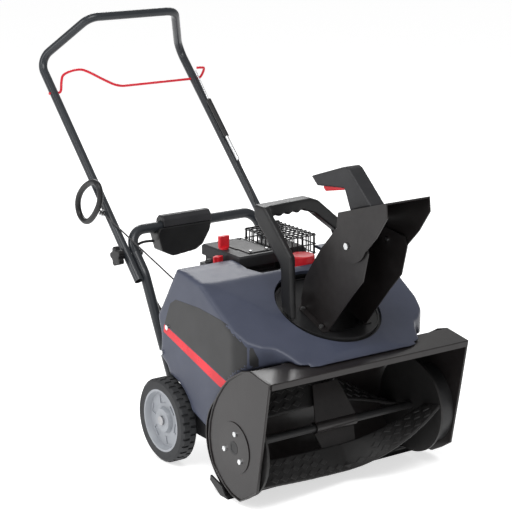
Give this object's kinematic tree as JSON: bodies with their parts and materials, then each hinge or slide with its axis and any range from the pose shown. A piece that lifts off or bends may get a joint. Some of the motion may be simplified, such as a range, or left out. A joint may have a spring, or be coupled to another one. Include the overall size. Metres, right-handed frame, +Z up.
{
  "type": "single stage snowblower",
  "caption": "Walk-behind single stage snowblower with a turning discharge chute, a folding handle and an engine under a hood.",
  "frame": {"origin": "on the ground, under the middle of the machine's outline", "axes": "+Z up, the auger mouth faces -Y, the operator stands at +Y, the machine's right side is -X"},
  "size_m": [0.572, 1.2548, 1.0011],
  "materials": {
    "housing_paint": "satin black-brown paint",
    "hood_plastic": "moulded slate blue, satin",
    "black_plastic": "moulded, fine grain",
    "chute_plastic": "moulded, satin",
    "handle_tube": "dark grey powder coat",
    "red_paint": "gloss red powder coat",
    "red_plastic": "moulded red",
    "bright_zinc": "bright zinc plate",
    "shaft_steel": "turned steel",
    "auger_rubber": "moulded rubber",
    "tyre_rubber": "chevron tread",
    "rim_plastic": "silver grey moulding",
    "engine_alloy": "die cast",
    "engine_black": "black paint",
    "cover_grey": "dark grey moulding",
    "wire_black": "black wire",
    "belt_rubber": "V-belt",
    "rope_nylon": "braided cord"
  },
  "bodies": {
    "frame": {"auger_housing": "housing_paint", "side_plate_right": "housing_paint", "side_plate_left": "housing_paint", "scraper_bar": "black_plastic", "auger_bearings": "engine_black", "housing_bolts": "bright_zinc", "belt_cover": "black_plastic", "drive_belt": "belt_rubber", "chassis": "engine_black", "wheel_axle": "shaft_steel", "hood": "hood_plastic", "chute_base": "black_plastic", "lower_handle": "handle_tube", "handle_bolts": "bright_zinc", "clutch_cable": "black_plastic", "starter_rope": "rope_nylon", "switch_box": "black_plastic", "switch_box_cap": "cover_grey", "starter_lead": "black_plastic", "engine_block": "engine_alloy", "cylinder_head": "engine_alloy", "recoil_housing": "black_plastic", "engine_cover": "cover_grey", "fuel_tank": "black_plastic", "muffler": "engine_black", "muffler_guard": "wire_black", "starter_motor": "engine_black"},
    "right_wheel": {"tyre_right": "tyre_rubber", "rim_right": "rim_plastic"},
    "left_wheel": {"tyre_left": "tyre_rubber", "rim_left": "rim_plastic"},
    "auger": {"auger_shaft": "engine_black", "auger_discs": "auger_rubber", "auger_bands": "auger_rubber", "paddle_plates": "housing_paint", "auger_pulley": "engine_alloy"},
    "crank": {"crankshaft": "shaft_steel", "engine_pulley": "shaft_steel"},
    "idler_lever": {"idler_arm": "bright_zinc"},
    "idler_wheel": {"idler_pulley": "black_plastic"},
    "spool": {"recoil_spool": "black_plastic"},
    "chute_group": {"chute_ring": "black_plastic", "chute": "chute_plastic", "chute_bolts": "bright_zinc", "grab_handle": "black_plastic"},
    "deflector_group": {"deflector": "chute_plastic", "deflector_handle": "cover_grey"},
    "trigger": {"deflector_trigger": "red_plastic"},
    "upper_frame": {"upper_handle": "handle_tube", "rope_guide": "bright_zinc"},
    "bail": {"control_bail": "red_paint"},
    "link": {"clutch_link": "bright_zinc"},
    "pull_grip": {"starter_grip": "black_plastic"},
    "choke": {"choke_knob": "red_plastic"},
    "key": {"ignition_key": "red_plastic"},
    "primer": {"primer_bulb": "black_plastic"},
    "filler_cap": {"fuel_cap": "red_plastic"},
    "button": {"start_button": "red_plastic"},
    "right_knob": {"knob_right": "black_plastic"},
    "left_knob": {"knob_left": "black_plastic"}
  },
  "joints": [
    {"name": "wheel_right_spin", "type": "hinge", "parent": "frame", "child": "right_wheel", "pos_m": [0, -0.073, 0.1016], "axis": [1, 0, 0], "continuous": true},
    {"name": "wheel_left_spin", "type": "hinge", "parent": "frame", "child": "left_wheel", "pos_m": [0, -0.073, 0.1016], "axis": [1, 0, 0], "continuous": true},
    {"name": "auger_spin", "type": "hinge", "parent": "frame", "child": "auger", "pos_m": [0, -0.381, 0.13], "axis": [1, 0, 0], "continuous": true},
    {"name": "crank_spin", "type": "hinge", "parent": "frame", "child": "crank", "pos_m": [0, -0.06, 0.3], "axis": [1, 0, 0], "continuous": true},
    {"name": "idler_swing", "type": "hinge", "parent": "frame", "child": "idler_lever", "pos_m": [0.24, -0.175, 0.138], "axis": [1, 0, 0], "range_deg": [-10, 0]},
    {"name": "idler_spin", "type": "hinge", "parent": "idler_lever", "child": "idler_wheel", "pos_m": [0.2495, -0.212, 0.113], "axis": [1, 0, 0], "continuous": true},
    {"name": "spool_spin", "type": "hinge", "parent": "frame", "child": "spool", "pos_m": [0, -0.06, 0.3], "axis": [1, 0, 0], "continuous": true},
    {"name": "chute_turn", "type": "hinge", "parent": "frame", "child": "chute_group", "pos_m": [0, -0.348, 0.397], "axis": [0, -0.342, 0.9397], "range_deg": [-100, 100]},
    {"name": "deflector_tilt", "type": "hinge", "parent": "chute_group", "child": "deflector_group", "pos_m": [0, -0.497, 0.587], "axis": [1, 0, 0], "range_deg": [0, 45]},
    {"name": "trigger_squeeze", "type": "hinge", "parent": "deflector_group", "child": "trigger", "pos_m": [0, -0.421, 0.705], "axis": [1, 0, 0], "range_deg": [0, 5], "stiffness_Nm_per_rad": 0.3, "springref_deg": -5.73},
    {"name": "handle_fold", "type": "hinge", "parent": "frame", "child": "upper_frame", "pos_m": [0, 0.19, 0.442], "axis": [1, 0, 0], "range_deg": [-80, 0], "deforming": ["starter_rope", "clutch_cable"]},
    {"name": "bail_squeeze", "type": "hinge", "parent": "upper_frame", "child": "bail", "pos_m": [0, 0.5491, 0.79612], "axis": [1, 0, 0], "range_deg": [-45, 0], "stiffness_Nm_per_rad": 0.6, "springref_deg": 17.19, "deforming": ["clutch_cable"]},
    {"name": "clutch_link_slide", "type": "slide", "parent": "upper_frame", "child": "link", "axis": [0, 0.712, 0.7022], "range_m": [0, 0.02], "deforming": ["clutch_cable"]},
    {"name": "starter_pull", "type": "slide", "parent": "upper_frame", "child": "pull_grip", "axis": [-0.3363, 0.7616, 0.5539], "range_m": [0, 0.4], "stiffness_N_per_m": 8, "springref_m": -0.5, "deforming": ["starter_rope"]},
    {"name": "choke_turn", "type": "hinge", "parent": "frame", "child": "choke", "pos_m": [-0.092, -0.058, 0.492], "axis": [0, 0, 1], "range_deg": [0, 90]},
    {"name": "key_pull", "type": "slide", "parent": "frame", "child": "key", "axis": [0, 0, 1], "range_m": [0, 0.012]},
    {"name": "primer_push", "type": "slide", "parent": "frame", "child": "primer", "axis": [0, 0, -1], "range_m": [0, 0.006], "stiffness_N_per_m": 200, "springref_m": -0.002},
    {"name": "fuel_cap_turn", "type": "hinge", "parent": "frame", "child": "filler_cap", "pos_m": [0.05, -0.183, 0.472], "axis": [0, 0, 1], "range_deg": [0, 120]},
    {"name": "start_button_push", "type": "slide", "parent": "frame", "child": "button", "axis": [0, -1, 0], "range_m": [0, 0.003], "stiffness_N_per_m": 300, "springref_m": -0.001},
    {"name": "knob_right_turn", "type": "hinge", "parent": "frame", "child": "right_knob", "pos_m": [0, 0.19, 0.442], "axis": [1, 0, 0], "continuous": true},
    {"name": "knob_left_turn", "type": "hinge", "parent": "frame", "child": "left_knob", "pos_m": [0, 0.19, 0.442], "axis": [1, 0, 0], "continuous": true}
  ],
  "couplings": [
    {"joint": "crank_spin", "follows": "auger_spin", "ratio": 3.1481},
    {"joint": "idler_swing", "follows": "bail_squeeze", "ratio": 0.22},
    {"joint": "clutch_link_slide", "follows": "bail_squeeze", "m_per_rad": -0.024},
    {"joint": "spool_spin", "follows": "starter_pull", "rad_per_m": -20.833}
  ]
}
